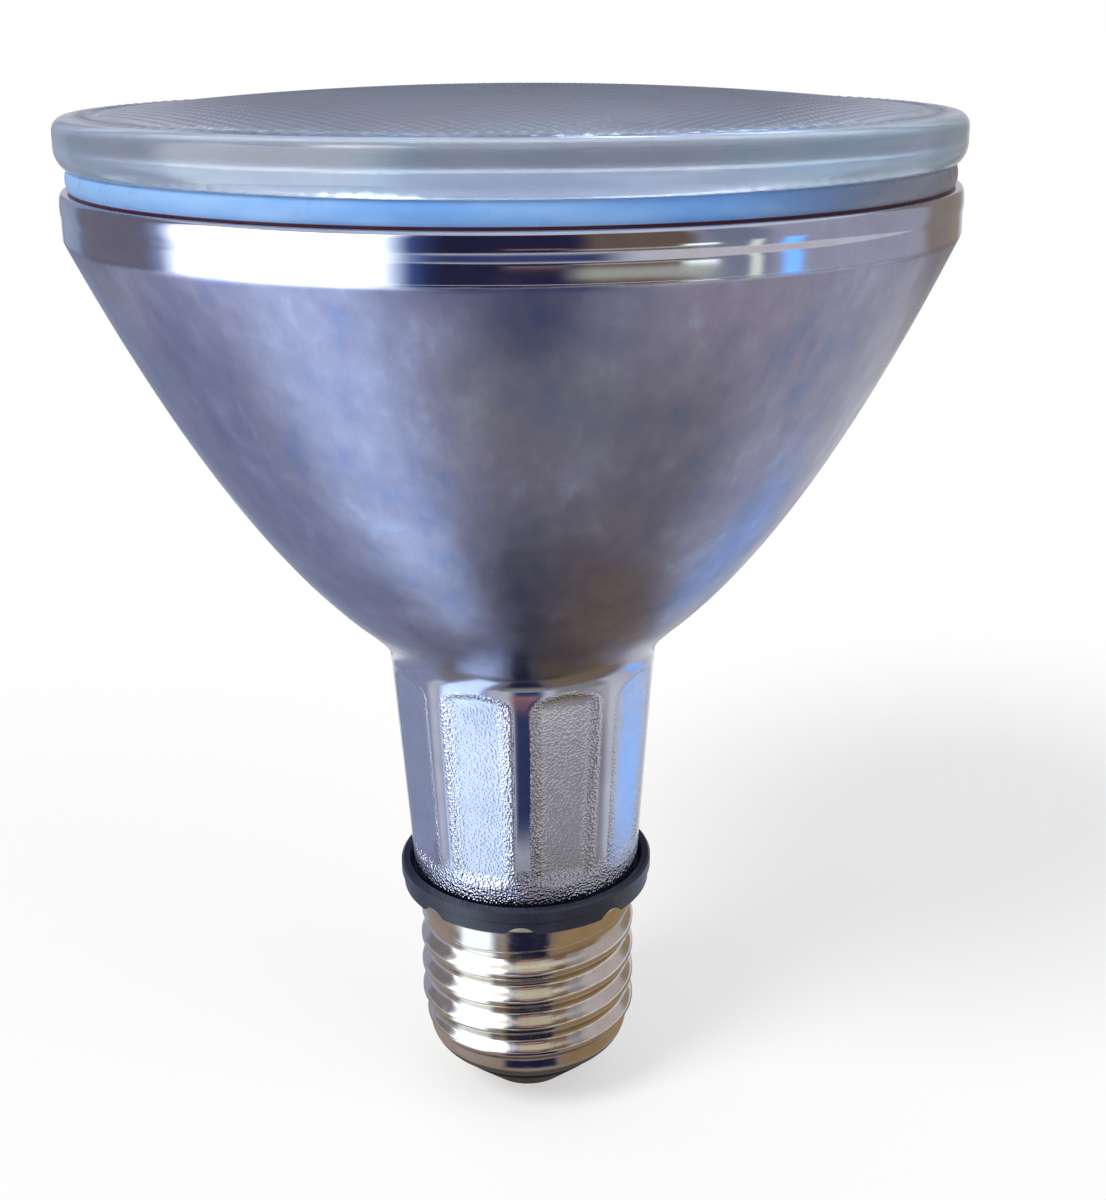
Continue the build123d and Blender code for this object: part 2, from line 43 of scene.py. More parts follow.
# Sizes shared with the part's source, in millimetres
THREAD_PITCH = 3.629
CREST_R = 13.1
ROOT_R = 12.13
FOOT_Z = 29.5
FOOT_R = 13.6
FOOT_ROUND = 0.9
NECK_SLOPE = 0.0732
BOWL_CURVE = 43.3
BOWL_Z = 53.6
BOWL_WALL = 2.7
RIM_R = 48.05
RIM_Z = BOWL_Z + RIM_R ** 2 / BOWL_CURVE
RIM_TOP_Z = RIM_Z + 4.8
MOUTH_R = 45.6
PANEL_COUNT = 9
PANEL_ANGLE = 31.0
PANEL_TURN = -71.5
PANEL_LOW_Z = 34.0
PANEL_HIGH_Z = 55.0
LENS_Z = RIM_TOP_Z + 2.5
LENS_TOP_Z = LENS_Z + 5.05
LENS_R = 48.3
LENS_DOME_R = 45.0
LENS_SAG = 2.45

# Sizes of the looks, in millimetres
LENSLET_PITCH = 1.4
LENSLET_RISE = 0.17
FIELD_R = 43.4
PRISM_COUNT = 144
RIM_BEAD = 0.1
SATIN_LOW_Z = 56
SATIN_FULL_Z = 64
LAMP_HEIGHT = 122


# Small tools

def mesh_piece(name, verts, faces, replaced):
    """New smooth mesh in millimetres that rides on the lamp, in place of the CAD node named."""
    data = bpy.data.meshes.new(name)
    data.from_pydata([(x * MM, y * MM, z * MM) for x, y, z in verts], [], faces)
    data.validate()
    data.update()
    data.polygons.foreach_set("use_smooth", [True] * len(data.polygons))
    piece = bpy.data.objects.new(name, data)
    bpy.context.scene.collection.objects.link(piece)
    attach(piece, "root")
    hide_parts(replaced)
    return piece


def ring_points(radius, z, columns):
    """Closed ring of points; the radius may be a number or a function of the turn in degrees."""
    points = []
    for j in range(columns):
        turn = 360 * j / columns
        r = radius(turn) if callable(radius) else radius
        points.append((r * cos(radians(turn)), r * sin(radians(turn)), z))
    return points


def grid_faces(rows, columns, first=0):
    """Quads between closed rings of equal length, one ring after another."""
    faces = []
    for i in range(rows - 1):
        for j in range(columns):
            a = first + i * columns + j
            b = first + i * columns + (j + 1) % columns
            faces.append((a, b, b + columns, a + columns))
    return faces


def closing_faces(rows, columns):
    """Quads from the last ring back to the first, for a section that closes on itself."""
    last = (rows - 1) * columns
    return [(last + j, last + (j + 1) % columns, (j + 1) % columns, j) for j in range(columns)]


def paint(piece, name, values):
    """Point attribute that the piece's material reads."""
    layer = piece.data.attributes.new(name, "FLOAT", "POINT")
    layer.data.foreach_set("value", values)


def ease(a, b, x):
    """Smooth step from 0 at a to 1 at b."""
    t = min(1.0, max(0.0, (x - a) / (b - a)))
    return t * t * (3 - 2 * t)


def soft_min(a, b, k):
    """The lesser of a and b, with the corner between them rounded over k."""
    h = max(k - abs(a - b), 0.0) / k
    return min(a, b) - h * h * k / 4


# Materials

class Shader:
    """A Principled material built from nodes."""

    def __init__(self, name, **values):
        self.material = bpy.data.materials.new(name)
        self.material.use_nodes = True
        self.tree = self.material.node_tree
        self.body = self.tree.nodes["Principled BSDF"]
        for socket, value in values.items():
            self.body.inputs[socket.replace("_", " ")].default_value = value
        self.place = self.tree.nodes.new("ShaderNodeTexCoord").outputs["Object"]

    def node(self, kind, **values):
        made = self.tree.nodes.new(kind)
        for key, value in values.items():
            setattr(made, key, value)
        return made

    def link(self, source, target):
        self.tree.links.new(source, target)

    def stretched(self, scale):
        """Object coordinates multiplied axis by axis."""
        mapping = self.node("ShaderNodeMapping")
        mapping.inputs["Scale"].default_value = scale
        self.link(self.place, mapping.inputs["Vector"])
        return mapping.outputs["Vector"]

    def noise(self, size, detail=3.0, roughness=0.55, stretch=(1, 1, 1)):
        """Noise whose patches are about size millimetres across."""
        made = self.node("ShaderNodeTexNoise")
        made.inputs["Scale"].default_value = 1.0
        made.inputs["Detail"].default_value = detail
        made.inputs["Roughness"].default_value = roughness
        scale = [s / (size * MM) for s in stretch]
        self.link(self.stretched(scale), made.inputs["Vector"])
        return made.outputs["Fac"]

    def cells(self, size):
        """Distance pattern of cells about size millimetres across."""
        made = self.node("ShaderNodeTexVoronoi")
        made.inputs["Scale"].default_value = 1 / (size * MM)
        self.link(self.place, made.inputs["Vector"])
        return made.outputs["Distance"]

    def axis(self, name, low, high):
        """0 to 1 between two places in millimetres along X, Y or Z."""
        parts = self.node("ShaderNodeSeparateXYZ")
        self.link(self.place, parts.inputs["Vector"])
        made = self.node("ShaderNodeMapRange")
        made.inputs["From Min"].default_value = low * MM
        made.inputs["From Max"].default_value = high * MM
        self.link(parts.outputs[name], made.inputs["Value"])
        return made.outputs["Result"]

    def ramp(self, source, stops):
        """Colour or grey from a factor; stops are (position, colour or grey)."""
        made = self.node("ShaderNodeValToRGB")
        elements = made.color_ramp.elements
        while len(elements) < len(stops):
            elements.new(0.5)
        for element, (position, colour) in zip(elements, stops):
            element.position = position
            if isinstance(colour, (int, float)):
                colour = (colour, colour, colour)
            element.color = (*colour, 1)
        self.link(source, made.inputs["Fac"])
        return made.outputs["Color"]

    def math(self, operation, a, b):
        made = self.node("ShaderNodeMath", operation=operation)
        for socket, value in zip(made.inputs, (a, b)):
            if isinstance(value, (int, float)):
                socket.default_value = value
            else:
                self.link(value, socket)
        return made.outputs["Value"]

    def mix(self, factor, a, b):
        """Colour a where the factor is 0 and b where it is 1."""
        made = self.node("ShaderNodeMix", data_type="RGBA")
        for socket, value in zip((made.inputs[0], made.inputs[6], made.inputs[7]), (factor, a, b)):
            if isinstance(value, (int, float)):
                socket.default_value = value
            elif isinstance(value, tuple):
                socket.default_value = (*value, 1)
            else:
                self.link(value, socket)
        return made.outputs[2]

    def attribute(self, name):
        made = self.node("ShaderNodeAttribute", attribute_name=name)
        return made.outputs["Fac"]

    def bump(self, height, depth, below=None):
        """Bump of so many millimetres, over an earlier bump if one is given."""
        made = self.node("ShaderNodeBump")
        made.inputs["Strength"].default_value = 1.0
        made.inputs["Distance"].default_value = depth * MM
        self.link(height, made.inputs["Height"])
        if below is not None:
            self.link(below, made.inputs["Normal"])
        self.link(made.outputs["Normal"], self.body.inputs["Normal"])
        return made.outputs["Normal"]

    def set(self, socket, source):
        self.link(source, self.body.inputs[socket])


def use(piece, shader):
    """Give a piece, new or CAD, one material all over."""
    piece.data.materials.clear()
    piece.data.materials.append(shader.material)


def simple(name, colour, spread, roughness, size, depth, **values):
    """Material with blotches, a varying roughness and a fine bump."""
    shader = Shader(name, **values)
    blotch = shader.noise(size)
    light = tuple(min(1.0, c * (1 + spread)) for c in colour)
    dark = tuple(c * (1 - spread) for c in colour)
    shader.set("Base Color", shader.ramp(blotch, [(0.3, dark), (0.7, light)]))
    wear = shader.noise(size / 3)
    shader.set("Roughness", shader.ramp(wear, [(0.3, roughness * 0.8), (0.7, roughness * 1.2)]))
    shader.bump(shader.noise(size / 5), depth)
    return shader


# Reflector: outer glass as a field of radius over turn and height, inner mirror turned

def neck_radius(z):
    return FOOT_R + NECK_SLOPE * (z - FOOT_Z - FOOT_ROUND)


def bowl_radius(z):
    """Outer radius of the neck and bowl before the panels, with the fillet between them."""
    neck = neck_radius(z)
    if z <= BOWL_Z:
        return neck
    bowl = sqrt(BOWL_CURVE * (z - BOWL_Z))
    return -soft_min(-neck, -bowl, 3.0)


def panel_radius(turn, z):
    """Radius of the flat panels at a turn in degrees and a height, arched at both ends."""
    step = 360 / PANEL_COUNT
    off = (turn - PANEL_TURN + step / 2) % step - step / 2
    flat = neck_radius(z) * cos(radians(PANEL_ANGLE / 2)) / cos(radians(off))
    for beyond, curve in ((PANEL_LOW_Z - z, 2.5), (z - PANEL_HIGH_Z, 3.5)):
        if beyond > 0:
            flat += curve - sqrt(max(0.0, curve ** 2 - min(beyond, curve) ** 2))
    return flat


def outer_radius(turn, z):
    if z > 60:
        return bowl_radius(z)
    return soft_min(bowl_radius(z), panel_radius(turn, z), 0.14)


def grain_at(turn, z):
    """Coarseness of the pressed grain: strong at the panels' edges and the foot, weak at their middles."""
    foot = 1 - ease(32.6, 35.5, z)
    if z > 60:
        return foot
    depth = bowl_radius(z) - outer_radius(turn, z)
    on_panel = ease(0.0, 0.05, depth)
    middle = ease(0.1, 0.42, depth)
    return max(foot, on_panel * (1 - 0.72 * middle))


def make_reflector():
    columns = 480
    heights = [FOOT_Z + FOOT_ROUND + 0.15 * i for i in range(19)]
    while heights[-1] < 60:
        heights.append(heights[-1] + 0.28)
    while heights[-1] < RIM_Z - 1.4:
        heights.append(heights[-1] + 1.4)
    verts = []
    grain = []

    def ring(radius, z, grain_of=lambda turn: 0.0):
        verts.extend(ring_points(radius, z, columns))
        grain.extend(grain_of(360 * j / columns) for j in range(columns))

    for r, z in ((9.0, 21.5), (11.1, 21.5), (11.3, 21.7), (11.3, 28.6), (11.3, 29.45), (11.4, FOOT_Z),
                 (12.6, FOOT_Z)):
        ring(r, z)
    for i in range(1, 7):
        lean = radians(90 * i / 6)
        z = FOOT_Z + FOOT_ROUND - FOOT_ROUND * cos(lean)
        ring(FOOT_R - FOOT_ROUND + FOOT_ROUND * sin(lean), z, lambda turn: 1.0)
    for z in heights[1:]:
        ring(lambda turn, z=z: outer_radius(turn, z), z, lambda turn, z=z: grain_at(turn, z))
    bead_low = RIM_TOP_Z - 0.4 - 2.2
    profile = [(RIM_R - 0.02, RIM_Z), (RIM_R, RIM_Z + 0.4), (RIM_R, bead_low - 0.3)]
    profile += [(RIM_R + RIM_BEAD * sin(radians(180 * i / 8)), bead_low + 2.2 * i / 8) for i in range(9)]
    profile += [(RIM_R - 0.15, RIM_TOP_Z - 0.1), (RIM_R - 0.4, RIM_TOP_Z), (MOUTH_R, RIM_TOP_Z)]
    for r, z in profile:
        ring(r, z)
    outer_count = len(verts)
    for r, z in inner_profile():
        ring(r, z)
    rings = len(verts) // columns
    faces = grid_faces(rings, columns) + closing_faces(rings, columns)
    piece = mesh_piece("reflector_glass", verts, faces, "reflector")
    paint(piece, "grain", grain)
    paint(piece, "inside", [float(i >= outer_count) for i in range(len(verts))])
    return piece


def inner_profile():
    """Mirror's parabola from the mouth down to the throat, then the neck's bore and the stub's bore."""
    def wall_point(r):
        slope = BOWL_CURVE / (2 * r)
        reach = BOWL_WALL / hypot(1, slope)
        return r - reach, BOWL_Z + r ** 2 / BOWL_CURVE + slope * reach
    throat = wall_point(20.0)
    rim = wall_point(RIM_R)
    curve = (rim[0] ** 2 - throat[0] ** 2) / (rim[1] - throat[1])
    vertex = throat[1] - throat[0] ** 2 / curve
    points = [(MOUTH_R, vertex + MOUTH_R ** 2 / curve)]
    r = MOUTH_R - 1
    while r > 13.4:
        points.append((r, vertex + r ** 2 / curve))
        r -= 1.5
    points += [(12.9, 56.4), (12.6, 52.0), (11.1, 31.8), (11.0, 31.6), (9.2, 31.6), (9.0, 31.4)]
    return points


def mirror_shader():
    """Clear mirrored glass on the rim and neck, satin and clouded on the bowl, bright inside."""
    glass = Shader("mirrored_glass", Metallic=1.0)
    rise = glass.axis("Z", 0, LAMP_HEIGHT)
    satin_edges = ((0, 0.0), (SATIN_LOW_Z, 0.0), (SATIN_FULL_Z, 1.0), (RIM_Z, 1.0), (RIM_Z + 0.25, 0.0))
    satin_stops = [(z / LAMP_HEIGHT, share) for z, share in satin_edges]
    outside = glass.math("SUBTRACT", 1.0, glass.attribute("inside"))
    satin = glass.math("MULTIPLY", glass.ramp(rise, satin_stops), outside)
    haze = glass.noise(8.0, detail=6.0, roughness=0.68)
    streak = glass.noise(2.4, detail=5.0, stretch=(1, 1, 0.07))
    cloud = glass.mix(0.4, haze, streak)
    bowl = glass.ramp(cloud, [(0.32, (0.13, 0.175, 0.32)), (0.46, (0.205, 0.205, 0.30)),
                              (0.56, (0.235, 0.235, 0.33)), (0.72, (0.29, 0.34, 0.49))])
    clear = glass.ramp(haze, [(0.3, (0.36, 0.37, 0.46)), (0.7, (0.46, 0.48, 0.57))])
    outer = glass.mix(satin, clear, bowl)
    glass.set("Base Color", glass.mix(glass.attribute("inside"), outer, (0.82, 0.82, 0.85)))
    fine = glass.ramp(glass.noise(5.0, detail=1.0), [(0.3, 0.28), (0.7, 0.35)])
    bright = glass.ramp(haze, [(0.3, 0.05), (0.7, 0.1)])
    glass.set("Roughness", glass.mix(satin, bright, fine))
    clouds = glass.bump(glass.math("MULTIPLY", glass.noise(5.0, detail=2.0, roughness=0.4), satin), 0.1)
    waves = glass.bump(glass.noise(11.0, detail=0.0), 0.05, clouds)
    pits = glass.math("MULTIPLY", glass.cells(0.3), glass.attribute("grain"))
    glass.bump(pits, 0.12, waves)
    return glass


use(make_reflector(), mirror_shader())


# Front lens with its field of small lenses

def dome_z(r):
    """Height of the smooth dome at radius r."""
    ball = (LENS_DOME_R ** 2 + LENS_SAG ** 2) / (2 * LENS_SAG)
    return LENS_TOP_Z + LENS_SAG - ball + sqrt(ball ** 2 - r ** 2)


def lens_rim():
    """Section of the lens from the spigot's foot round the edge to the ledge."""
    profile = [(43.8, 110.75), (45.2, 110.75), (45.3, LENS_Z), (46.6, LENS_Z)]
    curve = (0.9 ** 2 + 2.0 ** 2) / (2 * 0.9)
    for i in range(7):
        lean = asin(2.0 / curve) * (1 - i / 6)
        profile.append((LENS_R - curve + curve * cos(lean), LENS_Z + 2.0 - curve * sin(lean)))
    for i in range(9):
        lean = radians(90 * i / 8)
        profile.append((LENS_R - 1.4 + 1.4 * cos(lean), LENS_TOP_Z - 1.4 + 1.4 * sin(lean)))
    return profile


def lenslet_points():
    """Crown, half-way ring, valleys and corners of each small lens, as (x, y, lift)."""
    points = {}
    row_step = LENSLET_PITCH * sqrt(3) / 2
    rows = int(FIELD_R / row_step) + 1
    corner = LENSLET_PITCH / sqrt(3)

    def add(x, y, away):
        key = (round(x, 2), round(y, 2))
        points[key] = max(points.get(key, 0.0), LENSLET_RISE * (1 - (away / corner) ** 2))

    for row in range(-rows, rows + 1):
        y = row * row_step
        shift = (row % 2) * LENSLET_PITCH / 2
        for column in range(-rows, rows + 1):
            x = column * LENSLET_PITCH + shift
            if hypot(x, y) > FIELD_R:
                continue
            add(x, y, 0.0)
            for k in range(6):
                a = radians(60 * k)
                add(x + 0.3 * LENSLET_PITCH * cos(a), y + 0.3 * LENSLET_PITCH * sin(a), 0.3 * LENSLET_PITCH)
                add(x + LENSLET_PITCH / 2 * cos(a), y + LENSLET_PITCH / 2 * sin(a), LENSLET_PITCH / 2)
                b = a + radians(30)
                add(x + corner * cos(b), y + corner * sin(b), corner)
    return [(x, y, max(0.0, lift)) for (x, y), lift in points.items()]


def make_lens():
    columns = PRISM_COUNT * 4
    verts = []
    for r, z in lens_rim():
        verts += ring_points(r, z, columns)
    # Ledge with a row of small prisms, then the edge of the dome
    for r, rise in ((46.5, 0.0), (46.2, 0.5), (45.8, 1.0), (45.4, 0.7), (45.1, 0.0)):
        for j, (x, y, z) in enumerate(ring_points(r, LENS_TOP_Z, columns)):
            verts.append((x, y, z + 0.16 * rise * (1, 0.45, 0, 0.45)[j % 4]))
    rings = len(verts) // columns
    faces = grid_faces(rings, columns)
    # The dome: lenslets in hexagons inside a smooth margin
    edge = [(x, y, 0.0) for x, y, z in ring_points(44.8, 0, columns)]
    field = edge + lenslet_points()
    flat = [Vector((x, y)) for x, y, lift in field]
    placed, _, triangles, origins, _, _ = delaunay_2d_cdt(flat, [], [], 0, 1e-4)
    start = len(verts)
    for point, origin in zip(placed, origins):
        lift = field[origin[0]][2]
        verts.append((point.x, point.y, dome_z(point.length) - LENSLET_RISE + lift))
    faces += [tuple(start + i for i in triangle) for triangle in triangles]
    place_of = {origin[0]: start + i for i, origin in enumerate(origins)}
    last = (rings - 1) * columns
    for j in range(columns):
        k = (j + 1) % columns
        faces.append((last + j, last + k, place_of[k], place_of[j]))
    # The inside face
    under = len(verts)
    inner = [(43.8, 116.0)] + [(r, dome_z(r) - 3.0) for r in (43.4, 40, 34, 28, 21, 14, 7, 1)]
    for r, z in inner:
        verts += ring_points(r, z, columns)
    faces += [((j + 1) % columns, j, under + j, under + (j + 1) % columns) for j in range(columns)]
    faces += [(b, a, d, c) for a, b, c, d in grid_faces(len(inner), columns, under)]
    verts.append((0, 0, dome_z(0) - 3.0))
    last = len(verts) - 1 - columns
    faces += [(last + (j + 1) % columns, last + j, len(verts) - 1) for j in range(columns)]
    return mesh_piece("lens_glass", verts, faces, "front_lens")


def lens_shader():
    """Pressed glass, greyish on the dome; round the edge its tint carries painted refracted light, bluer and
    in soft patches.
    """
    glass = Shader("lens_glass", IOR=1.5, Transmission_Weight=0.85)
    tint = glass.mix(0.25, glass.noise(15.0, detail=1.0), glass.noise(4.0, detail=2.0))
    rim = glass.axis("Z", LENS_TOP_Z - 0.2, LENS_TOP_Z + 1.0)
    # Painted light: the edge's bluer colour and cyan patches stand in for light refracted through the glass,
    # over its own tint.
    edge_tint_painted_refraction = glass.ramp(tint, [(0.38, (0.66, 0.75, 0.91)), (0.5, (0.73, 0.82, 0.99)),
                             (0.64, (0.60, 0.84, 1.0))])
    top = glass.ramp(tint, [(0.35, (0.66, 0.65, 0.73)), (0.65, (0.70, 0.74, 0.87))])
    glass.set("Base Color", glass.mix(rim, edge_tint_painted_refraction, top))
    patch = glass.noise(7.0, detail=1.0)
    rough_side = glass.ramp(patch, [(0.3, 0.12), (0.7, 0.19)])
    rough_top = glass.ramp(patch, [(0.3, 0.1), (0.7, 0.16)])
    glass.set("Roughness", glass.mix(rim, rough_side, rough_top))
    glass.bump(glass.noise(7.0, detail=0.0), 0.08)
    return glass


use(make_lens(), lens_shader())


def seal_shader():
    """Sealant painted sky blue with the window light that falls on it, turning to painted shade (grey)
    towards the right, with a thin dark line where it meets the rim.
    """
    seal = Shader("seal", IOR=1.42, Specular_IOR_Level=0.3)
    patch = seal.noise(12.0, detail=2.0, stretch=(1, 1, 3))
    # Painted light: the sky blue stands in for blue window light on the sealant's front and left; the grey
    # is painted shade, mixed in along X towards the right.
    blue = seal.ramp(patch, [(0.35, (0.19, 0.43, 0.92)), (0.65, (0.31, 0.56, 1.0))])
    grey = seal.ramp(patch, [(0.35, (0.17, 0.18, 0.25)), (0.65, (0.25, 0.27, 0.36))])
    painted_shade_right = seal.ramp(seal.axis("X", 18, 34), [(0.0, 0.0), (1.0, 1.0)])
    body = seal.mix(painted_shade_right, blue, grey)
    line = seal.ramp(seal.axis("Z", RIM_TOP_Z, RIM_TOP_Z + 1.0), [(0.22, 1.0), (0.3, 0.0)])
    seal.set("Base Color", seal.mix(line, body, (0.10, 0.02, 0.03)))
    seal.set("Roughness", seal.ramp(seal.noise(3.0), [(0.3, 0.2), (0.7, 0.4)]))
    seal.bump(seal.noise(2.0), 0.1)
    return seal


use(nodes["lens_seal"], seal_shader())


# Screw shell with a smooth rolled thread

def shell_radius(turn, z):
    """Outer radius of the shell above its curled lip, at a turn in degrees and a height.

    The groove between two crests is cut into the wall, and climbs out of it where it ends.
    """
    crease_z, thread_top, band_z, flare_z, flare_top = 8.8, 21.9, 22.9, 23.6, 27.2
    band_r = 12.9
    groove_end = 23.46
    flare = 1.1 * min(1.0, max(0.0, z - flare_z) / (flare_top - flare_z)) ** 1.25
    wall = CREST_R + (band_r - CREST_R) * ease(thread_top, band_z, z) + flare
    phase = (z - 20.94) / THREAD_PITCH - (turn + 90) / 360
    groove_z = z - THREAD_PITCH * (phase % 1 - 0.5)
    groove = (CREST_R + ROOT_R) / 2 + (CREST_R - ROOT_R) / 2 * cos(2 * pi * phase)
    groove += 1.8 * ease(0, 0.35, (groove_z - groove_end) / THREAD_PITCH)
    smooth_low = 12.25
    radius = soft_min(wall, groove, 0.12)
    return smooth_low + (radius - smooth_low) * ease(crease_z - 0.3, crease_z + 2.2, z)


def make_shell():
    columns = 256
    crease_z, top_z = 8.8, 28.5
    verts = []
    for i in range(10):
        lean = radians(19.8 + (90 - 19.8) * i / 9)
        verts += ring_points(8.85 + 3.4 * sin(lean), crease_z - 3.4 * cos(lean), columns)
    z = crease_z + 0.12
    while z < top_z:
        verts += ring_points(lambda turn, z=z: shell_radius(turn, z), z, columns)
        z += 0.12
    for r, z in ((14.0, top_z), (13.75, top_z), (13.75, 27.2), (12.63, 23.6), (11.88, 21.9), (11.88, 10.4),
                 (12.0, crease_z), (10.05, 5.9)):
        verts += ring_points(r, z, columns)
    rings = len(verts) // columns
    faces = grid_faces(rings, columns) + closing_faces(rings, columns)
    return mesh_piece("shell_plate", verts, faces, "screw_shell")


def nickel_shader():
    """Warm bright plating with tarnished specks."""
    nickel = Shader("nickel", Metallic=1.0)
    tarnish = nickel.noise(6.0, detail=5.0)
    speck = nickel.ramp(nickel.noise(0.7, detail=3.0), [(0.62, 0.0), (0.75, 0.5)])
    plate = nickel.ramp(tarnish, [(0.3, (0.52, 0.45, 0.37)), (0.7, (0.68, 0.62, 0.56))])
    nickel.set("Base Color", nickel.mix(speck, plate, (0.42, 0.33, 0.24)))
    nickel.set("Roughness", nickel.ramp(nickel.noise(1.5, detail=5.0), [(0.3, 0.1), (0.75, 0.24)]))
    nickel.bump(nickel.noise(1.2, detail=3.0), 0.014)
    return nickel


use(make_shell(), nickel_shader())

collar = Shader("collar_plastic", IOR=1.5)
blacks = [(0.3, (0.004, 0.006, 0.018)), (0.7, (0.012, 0.017, 0.045))]
collar.set("Base Color", collar.ramp(collar.noise(3.0), blacks))
collar.set("Roughness", collar.ramp(collar.noise(0.9), [(0.3, 0.26), (0.7, 0.42)]))
collar.bump(collar.noise(0.25), 0.012)
use(nodes["insulating_collar"], collar)

tip = Shader("black_glass", IOR=1.5, Specular_IOR_Level=0.35)
tip.set("Base Color", tip.ramp(tip.noise(2.0), [(0.3, (0.002, 0.002, 0.003)), (0.7, (0.012, 0.012, 0.014))]))
tip.set("Roughness", tip.ramp(tip.noise(1.0), [(0.3, 0.1), (0.7, 0.25)]))
tip.bump(tip.noise(1.4), 0.06)
use(nodes["cap_insulator"], tip)

# Material: its nodes, colour, spread, roughness, blotch size, bump depth and metallic value
hidden = {
    "contact_brass": (("centre_contact",), (0.72, 0.50, 0.20), 0.15, 0.25, 2.0, 0.02, 1.0),
    "solder": (("contact_solder", "shell_solder"), (0.55, 0.56, 0.57), 0.2, 0.35, 1.0, 0.05, 1.0),
    "cement": (("cap_cement", "burner_cement"), (0.66, 0.62, 0.52), 0.2, 0.9, 1.5, 0.1, 0.0),
    "ceramic": (("burner_holder",), (0.80, 0.78, 0.70), 0.08, 0.6, 3.0, 0.03, 0.0),
    "molybdenum": (("foil_live", "foil_neutral", "pin_live", "pin_neutral", "frame_wire_short",
                    "frame_wire_long"), (0.42, 0.42, 0.44), 0.15, 0.3, 1.0, 0.01, 1.0),
    "alumina": (("discharge_vessel",), (0.86, 0.83, 0.74), 0.06, 0.5, 2.0, 0.02, 0.0),
    "tungsten": (("electrode_lower", "electrode_upper", "getter"),
                 (0.2, 0.2, 0.21), 0.15, 0.4, 0.8, 0.01, 1.0),
    "niobium": (("feedthrough_lower", "feedthrough_upper"), (0.38, 0.36, 0.34), 0.1, 0.35, 0.8, 0.01, 1.0),
    "frit": (("frit_lower", "frit_upper"), (0.6, 0.5, 0.35), 0.2, 0.2, 0.6, 0.02, 0.0),
    "lead_wire": (("live_lead", "neutral_lead"), (0.6, 0.6, 0.6), 0.1, 0.3, 1.0, 0.01, 1.0),
    "sleeving": (("live_sleeve",), (0.75, 0.73, 0.66), 0.15, 0.85, 0.5, 0.05, 0.0),
}
for name, (members, colour, spread, roughness, size, depth, metallic) in hidden.items():
    shader = simple(name, colour, spread, roughness, size, depth, Metallic=metallic)
    for member in members:
        use(nodes[member], shader)

quartz = simple("quartz", (0.92, 0.94, 0.97), 0.04, 0.05, 4.0, 0.01, Transmission_Weight=1.0, IOR=1.46)
use(nodes["burner_capsule"], quartz)


# Stage: pale floor, and studio cards that only reflections show

def stage_tree(name):
    """Empty node tree of a stage material, with its output node."""
    material = bpy.data.materials.new(name)
    material.use_nodes = True
    tree = material.node_tree
    tree.nodes.clear()
    return material, tree, tree.nodes.new("ShaderNodeOutputMaterial")


def seen_factor(tree):
    """1 for camera, glossy and transmission rays, 0 for the rest."""
    path = tree.nodes.new("ShaderNodeLightPath")
    total = path.outputs["Is Camera Ray"]
    for name in ("Is Glossy Ray", "Is Transmission Ray"):
        add = tree.nodes.new("ShaderNodeMath")
        add.operation = "ADD"
        add.use_clamp = True
        tree.links.new(total, add.inputs[0])
        tree.links.new(path.outputs[name], add.inputs[1])
        total = add.outputs[0]
    return total


def floor_material():
    """White to the eye and in reflections, with the object's shadow kept in it."""
    material, tree, out = stage_tree("floor")
    both = tree.nodes.new("ShaderNodeAddShader")
    matt = tree.nodes.new("ShaderNodeBsdfDiffuse")
    matt.inputs["Color"].default_value = (0.5, 0.5, 0.5, 1)
    glow = tree.nodes.new("ShaderNodeEmission")
    half = tree.nodes.new("ShaderNodeMath")
    half.operation = "MULTIPLY"
    half.inputs[1].default_value = 0.52
    tree.links.new(seen_factor(tree), half.inputs[0])
    tree.links.new(half.outputs[0], glow.inputs["Strength"])
    tree.links.new(matt.outputs[0], both.inputs[0])
    tree.links.new(glow.outputs[0], both.inputs[1])
    tree.links.new(both.outputs[0], out.inputs["Surface"])
    return material


def card_material(name, colour, strength, edge):
    """Glow that fades to clear at the card's border, where it takes the edge colour."""
    material, tree, out = stage_tree(name)
    cover = tree.nodes.new("ShaderNodeAttribute")
    cover.attribute_name = "cover"
    tones = tree.nodes.new("ShaderNodeValToRGB")
    tones.color_ramp.elements[0].position = 0.35
    tones.color_ramp.elements[0].color = (*edge, 1)
    tones.color_ramp.elements[1].position = 0.95
    tones.color_ramp.elements[1].color = (*[c * strength for c in colour], 1)
    glow = tree.nodes.new("ShaderNodeEmission")
    clear = tree.nodes.new("ShaderNodeBsdfTransparent")
    mix = tree.nodes.new("ShaderNodeMixShader")
    tree.links.new(cover.outputs["Fac"], tones.inputs["Fac"])
    tree.links.new(tones.outputs["Color"], glow.inputs["Color"])
    tree.links.new(cover.outputs["Fac"], mix.inputs["Fac"])
    tree.links.new(clear.outputs[0], mix.inputs[1])
    tree.links.new(glow.outputs[0], mix.inputs[2])
    tree.links.new(mix.outputs[0], out.inputs["Surface"])
    return material


def card_cover(r, z, radii, heights):
    """How much of a card there is at a radius and a height: 1 inside, and 0 at its near and far borders."""
    near, far = radii
    base, top = heights
    if base < 0:
        start = 1.0
    elif far > near:
        start = ease(0, 0.2, (r - near) / near)
    else:
        start = ease(0, 0.25, (z - base) / (top - base))
    if top > base:
        return min(start, ease(0, 0.25, (top - z) / (top - base)))
    return min(start, ease(0, 0.25, (far - r) / far))


